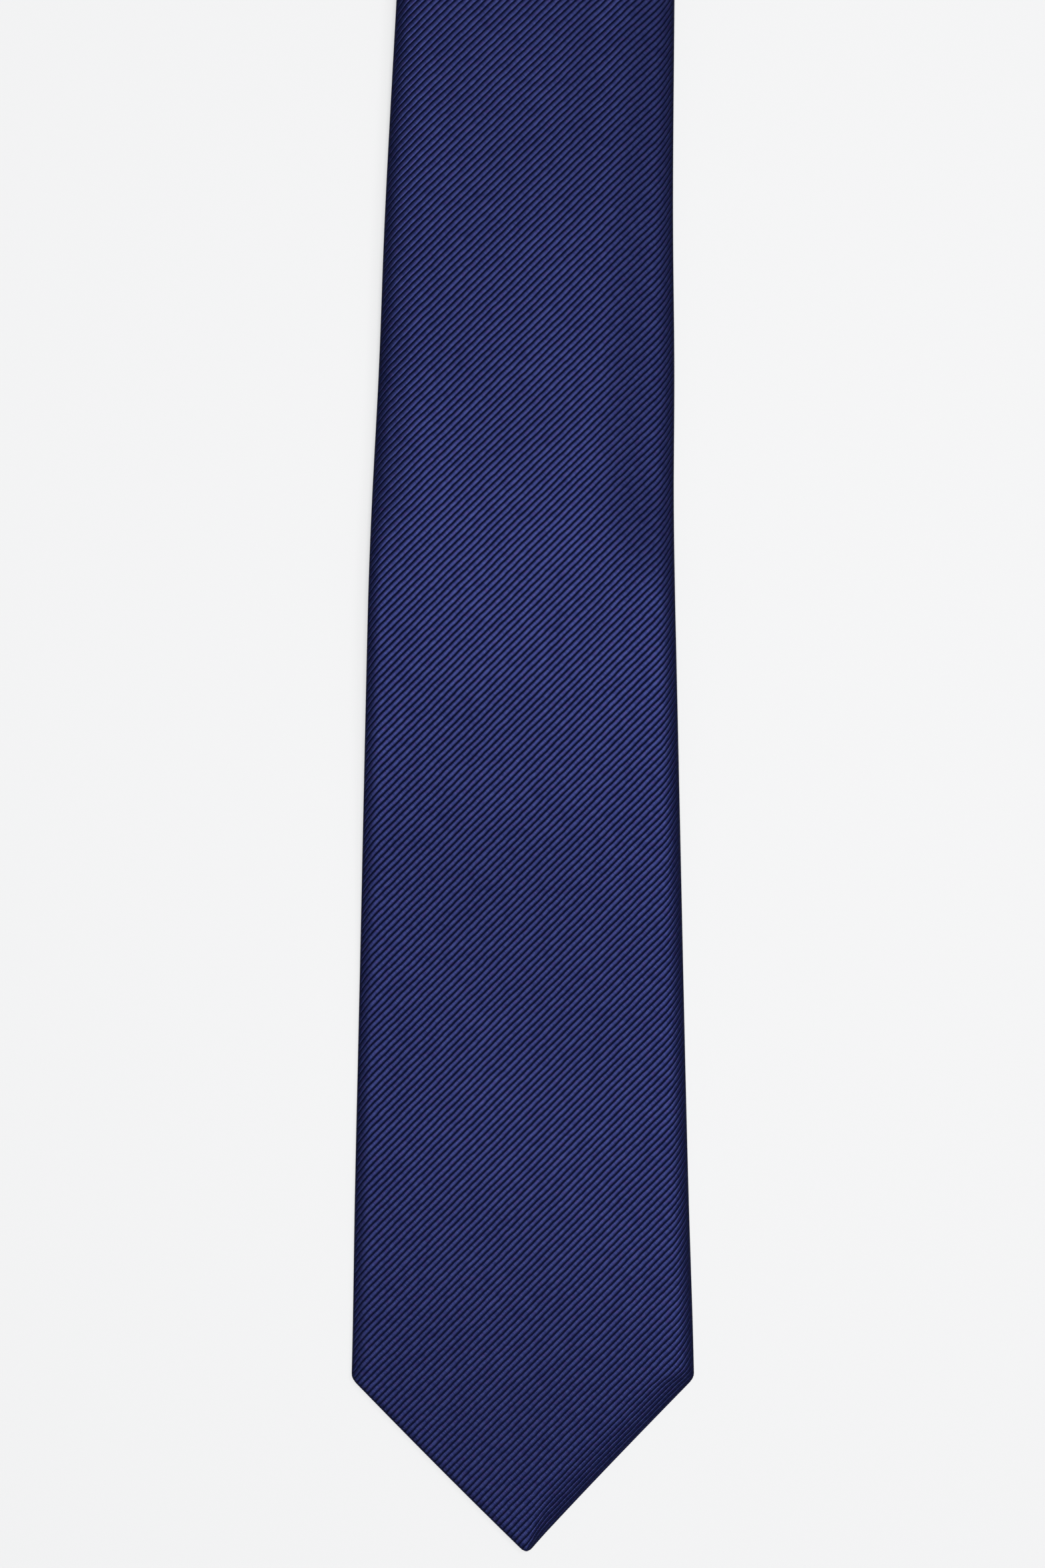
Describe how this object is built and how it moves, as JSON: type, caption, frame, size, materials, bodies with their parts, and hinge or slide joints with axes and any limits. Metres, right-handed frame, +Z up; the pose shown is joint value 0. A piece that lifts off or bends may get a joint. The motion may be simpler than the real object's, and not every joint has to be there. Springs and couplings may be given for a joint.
{
  "type": "necktie",
  "caption": "Ribbed navy necktie folded in half flat: wide pointed front blade, narrow neck band, tail blade, interlining, tipping, keeper loop and labels.",
  "frame": {"origin": "middle of the folded tie's footprint, on the surface it lies on", "axes": "+Y from the front blade's tip towards the neck fold, +X across the blades, +Z up"},
  "size_m": [0.08, 0.844, 0.0082],
  "materials": {
    "ribbed_cloth": "diagonal ribbed silk weave, soft sheen",
    "interlining": "matte brushed wool",
    "tipping": "smooth satin lining",
    "thread": "twisted sewing thread",
    "woven_label": "damask woven label, blank",
    "care_label": "white satin ribbon, blank"
  },
  "bodies": {
    "tail_lower": {"tail_shell_lower": "ribbed_cloth", "tail_interlining_lower": "interlining", "tail_tipping": "tipping", "slip_stitch_tail_lower": "thread", "tail_bar_tack": "thread"},
    "tail_upper": {"tail_shell_upper": "ribbed_cloth", "neck_shell_tail": "ribbed_cloth", "tail_interlining_upper": "interlining", "tail_piecing_seam": "ribbed_cloth", "slip_stitch_tail_upper": "thread", "neck_bend_shell": "ribbed_cloth", "neck_bend_interlining": "interlining"},
    "front_upper": {"front_shell_upper": "ribbed_cloth", "neck_shell_front": "ribbed_cloth", "front_interlining_upper": "interlining", "front_piecing_seam": "ribbed_cloth", "slip_stitch_front_upper": "thread"},
    "front_lower": {"front_shell_lower": "ribbed_cloth", "front_interlining_lower": "interlining", "front_tipping": "tipping", "slip_stitch_front_lower": "thread", "front_bar_tack": "thread", "keeper_loop": "ribbed_cloth", "keeper_stitches": "thread", "maker_label": "woven_label", "label_stitches": "thread"},
    "care_label": {"care_label": "care_label"}
  },
  "joints": [
    {"name": "pack_fold", "type": "hinge", "parent": "tail_lower", "child": "tail_upper", "pos_m": [0, -0.00204, 0.00833], "axis": [1, 0, 0], "range_deg": [0, 180]},
    {"name": "neck_fold_open", "type": "hinge", "parent": "tail_upper", "child": "front_upper", "pos_m": [0, 0.42205, 0.00409], "axis": [-1, 0, 0], "range_deg": [0, 180], "deforming": ["neck_bend_shell", "neck_bend_interlining"]},
    {"name": "pack_fold_front", "type": "hinge", "parent": "front_upper", "child": "front_lower", "pos_m": [0, -0.00204, 0.00833], "axis": [1, 0, 0], "range_deg": [-180, 0]},
    {"name": "care_label_flip", "type": "hinge", "parent": "front_lower", "child": "care_label", "pos_m": [0, -0.22104, 0.00345], "axis": [1, 0, 0], "range_deg": [0, 120]}
  ],
  "couplings": [
    {"joint": "pack_fold_front", "follows": "pack_fold", "ratio": -1}
  ]
}
